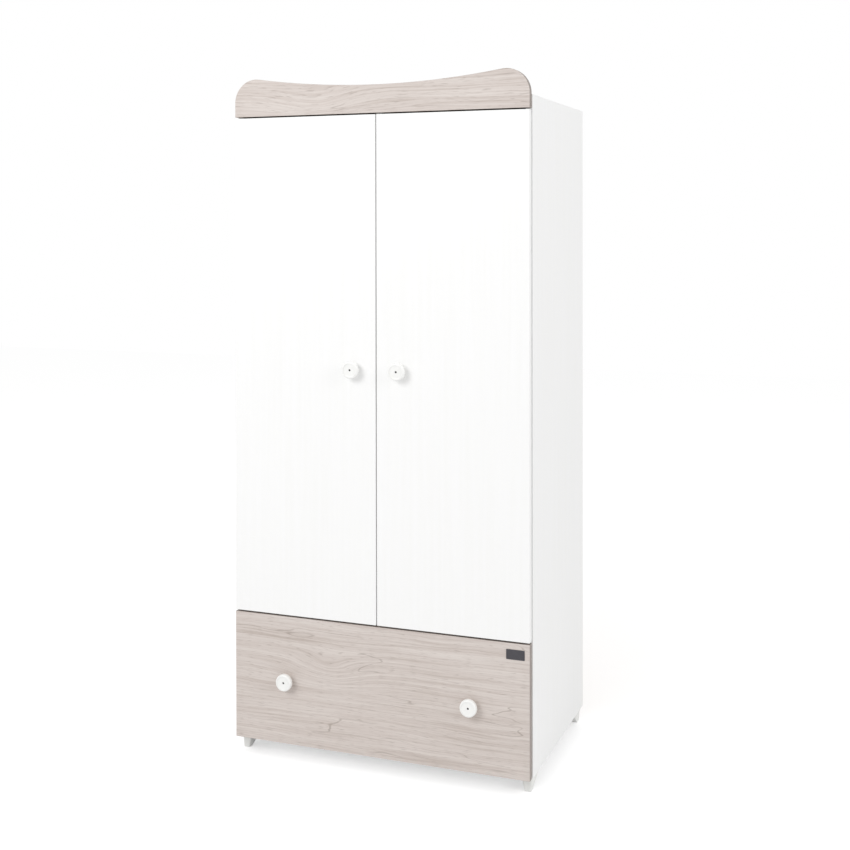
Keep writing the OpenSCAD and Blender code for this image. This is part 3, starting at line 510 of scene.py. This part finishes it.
# ---------------------------------------------------------------- bare plate
# A small dark plate glued to the drawer front's upper corner, with round corners and nothing on it.
low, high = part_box("front_plate")
plate_angle = np.linspace(0, 2 * np.pi, 128, endpoint=False)
corner = 0.0018
half_w, half_h = (high.x - low.x) / 2, (high.z - low.z) / 2
lean = np.array([(1.0, 0.0), (1.0, 0.0009), (0.9975, 0.0012), (0.0, 0.0012)])
turn_x, turn_z = np.cos(plate_angle), np.sin(plate_angle)
# a rectangle with round corners: the corner centre plus the corner radius along the angle
edge_x = np.sign(turn_x) * (half_w - corner) + corner * turn_x
edge_z = np.sign(turn_z) * (half_h - corner) + corner * turn_z
points = np.stack([(low.x + high.x) / 2 + lean[:, :1] * edge_x, high.y - lean[:, 1:] + 0 * edge_x,
                   (low.z + high.z) / 2 + lean[:, :1] * edge_z], axis=-1)
points = np.concatenate([points, points[:1] * [1, 1, 1]])
points[-1] = np.stack([np.full(128, (low.x + high.x) / 2), np.full(128, high.y),
                       np.full(128, (low.z + high.z) / 2)], axis=-1)
plate = grid_mesh("front_plate_bare", np.roll(points, 1, axis=0).reshape(-1, 3), 5, 128)
plate.data.materials.append(lacquer("plate_charcoal", shade(52, 50, 57), 0.38))
stand_for(plate, "front_plate")


# ---------------------------------------------------------------- steel fittings
# Hinge plates and arms, shelf pins, rail sockets and the wall bracket: zinc-plated steel
# or die-cast zinc, pressed and deburred, so each keeps a small round on its edges. The cams only
# take the zinc finish, with their CAD edges left sharp.
def plated_steel(name, colour, roughness):
    """Bright plating: metal with a soft cloudy roughness."""
    made, tree, main = finish(name, Metallic=1.0)
    place = shader_node(tree, "ShaderNodeTexCoord").outputs["Object"]
    cloud = stretched_noise(tree, place, (120, 120, 120), detail=4.0)
    low = tuple(c * 0.86 for c in colour[:3]) + (1.0,)
    tree.links.new(tone(tree, cloud, [(0.3, low), (0.7, colour)]), main.inputs["Base Color"])
    rough = shader_node(tree, "ShaderNodeMapRange", {"Value": cloud, "To Min": roughness - 0.08,
                        "To Max": roughness + 0.08}).outputs[0]
    tree.links.new(rough, main.inputs["Roughness"])
    return made


zinc = plated_steel("zinc_plating", shade(206, 208, 210), 0.3)
nickel = plated_steel("nickel_plating", shade(214, 212, 208), 0.2)
for node in ("hinge_plates", "hinge_arms", "hinge_cups_left", "hinge_cups_right", "rail_sockets",
             "wall_bracket", "shelf_pins"):
    fitting = merged_copy(node, node + "_plated")
    fitting.data.materials.append(nickel if "hinge" in node else zinc)
    ease_edges(fitting, 0.0003, 0.0022)
    stand_for(fitting, node)
for node in ("hinge_pins_left", "hinge_pins_right", "cam_locks", "cam_bolts", "drawer_fittings"):
    cad = frame["nodes"][node]
    cad.data.materials.clear()
    cad.data.materials.append(zinc)


# ---------------------------------------------------------------- screws
# Pan-head screws with a cross recess, and flush confirmat screws with a hexagon one. Only the
# heads show: the threads are buried in the boards.
def solids_of(node):
    """The separate solids of a CAD node, as one array of points each."""
    solid = bmesh.new()
    solid.from_mesh(frame["nodes"][node].data)
    bmesh.ops.remove_doubles(solid, verts=solid.verts, dist=2e-6)
    left = set(solid.verts)
    groups = []
    while left:
        todo = [left.pop()]
        group = []
        while todo:
            vert = todo.pop()
            group.append(tuple(vert.co))
            near = [edge.other_vert(vert) for edge in vert.link_edges]
            fresh = [other for other in near if other in left]
            left.difference_update(fresh)
            todo.extend(fresh)
        groups.append(np.array(group))
    solid.free()
    return groups


def screw_frame(points):
    """A screw's head centre, the way its head looks, its head radius and its length."""
    size = np.ptp(points, axis=0)
    axis = int(np.argmax(size))
    middle = (points.max(0) + points.min(0)) / 2
    spread = np.linalg.norm(np.delete(points - middle, axis, axis=1), axis=1)
    widest = points[spread > spread.max() * 0.98]
    way = np.zeros(3)
    way[axis] = 1 if widest[:, axis].mean() > middle[axis] else -1
    head = middle.copy()
    head[axis] = points[:, axis].max() if way[axis] > 0 else points[:, axis].min()
    return head, way, spread.max(), size[axis]


head_steps = 48


def recessed_head(head, way, radius, length, flush):
    """Rings from the shank's end over the head's rim to the recess. The recess outline is the
    nearer of two distances: to the end of an arm and to its side, or a hexagon's flat."""
    angle = np.linspace(0, 2 * np.pi, head_steps, endpoint=False)
    if flush:
        sector = (angle + np.pi / 6) % (np.pi / 3) - np.pi / 6
        outline = 0.0021 / np.cos(sector)
        depth, shank = 0.0024, 0.0034
    else:
        quarter = np.abs((angle + np.pi / 4) % (np.pi / 2) - np.pi / 4)
        arm = 0.62 * radius
        outline = np.minimum(arm / np.cos(quarter), 0.15 * radius / np.maximum(np.sin(quarter), 1e-3))
        depth, shank = 0.0013, 0.0018
    thick = 0.002 if flush else 0.0018
    ones = np.ones(head_steps)
    rings = [(0 * ones, -length), (shank * 0.5 * ones, -length), (shank * ones, -length + 0.002),
             (shank * ones, -thick), (radius * ones, -thick), (radius * ones, -0.0006),
             ((radius - 0.0005) * ones, -0.00012), (0.8 * radius * ones, 0 * ones),
             (np.minimum(outline, 0.8 * radius), 0 * ones), (0.75 * outline, -depth * ones),
             (0 * ones, -depth * ones)]
    spread = np.stack([r for r, _ in rings])
    height = np.stack([np.broadcast_to(h, head_steps) for _, h in rings])
    local = np.stack([spread * np.cos(angle), spread * np.sin(angle), height], axis=-1).reshape(-1, 3)
    turn = np.array(Vector(way).to_track_quat("Z", "Y").to_matrix())
    return local @ turn.T + head


# heads wider than this are the flush confirmat screws
confirmat_least = 0.0045
for node in ("carcass_screws", "door_screws_left", "door_screws_right", "drawer_screws"):
    parts = []
    for points in solids_of(node):
        head, way, radius, length = screw_frame(points)
        parts.append(recessed_head(head, way, radius, length, radius > confirmat_least))
    one = grid_faces(len(parts[0]) // head_steps, head_steps)
    faces = np.concatenate([one + i * len(parts[0]) for i in range(len(parts))])
    screws = closed_mesh(node + "_turned", np.concatenate(parts), faces)
    screws.data.materials.append(zinc)
    stand_for(screws, node)


# ---------------------------------------------------------------- hanging rail and runners
# The rail is a chromed steel tube. The runners are rolled steel in white powder coat, and
# their rollers are turned nylon on riveted axles.
chrome = plated_steel("chrome_plating", shade(232, 234, 236), 0.12)
rail = frame["nodes"]["hanging_rail"]
rail.data.materials.clear()
rail.data.materials.append(chrome)


def powder_coat(name):
    """Powder coat: white with a fine pebbled skin."""
    made, tree, main = finish(name, Roughness=0.38)
    place = shader_node(tree, "ShaderNodeTexCoord").outputs["Object"]
    haze = stretched_noise(tree, place, (20, 20, 20), detail=2.0)
    tree.links.new(tone(tree, haze, [(0.3, shade(236, 236, 233)), (0.7, shade(243, 243, 240))]),
                   main.inputs["Base Color"])
    emboss(tree, main, stretched_noise(tree, place, (700, 700, 700), detail=2.0), 0.00008)
    return made


coat = powder_coat("runner_coat")
for node in ("cabinet_runner_left", "cabinet_runner_right", "drawer_runner_left", "drawer_runner_right"):
    runner = merged_copy(node, node + "_rolled")
    runner.data.materials.append(coat)
    ease_edges(runner, 0.0004, 0.010)
    stand_for(runner, node)

nylon = lacquer("roller_nylon", shade(240, 239, 232), 0.45)
moulded = lacquer("moulded_white", shade(240, 240, 237), 0.4)
pad = lacquer("soft_pad", shade(228, 228, 224), 0.55)
beech, tree, main = finish("beech_dowel", Roughness=0.7)
beech_place = shader_node(tree, "ShaderNodeTexCoord").outputs["Object"]
beech_grain = stretched_noise(tree, beech_place, (60, 900, 900), detail=3.0)
tree.links.new(tone(tree, beech_grain, [(0.3, shade(196, 160, 118)), (0.7, shade(220, 188, 146))]),
               main.inputs["Base Color"])
plain_parts = {
    nylon: ["front_roller_left", "front_roller_right", "rear_roller_left", "rear_roller_right"],
    moulded: ["cornice_brackets", "back_joining_strip"],
    pad: ["door_bumpers_left", "door_bumpers_right", "drawer_bumpers"],
    beech: ["dowels"],
}
for look, nodes in plain_parts.items():
    for node in nodes:
        cad = frame["nodes"][node]
        cad.data.materials.clear()
        cad.data.materials.append(look)
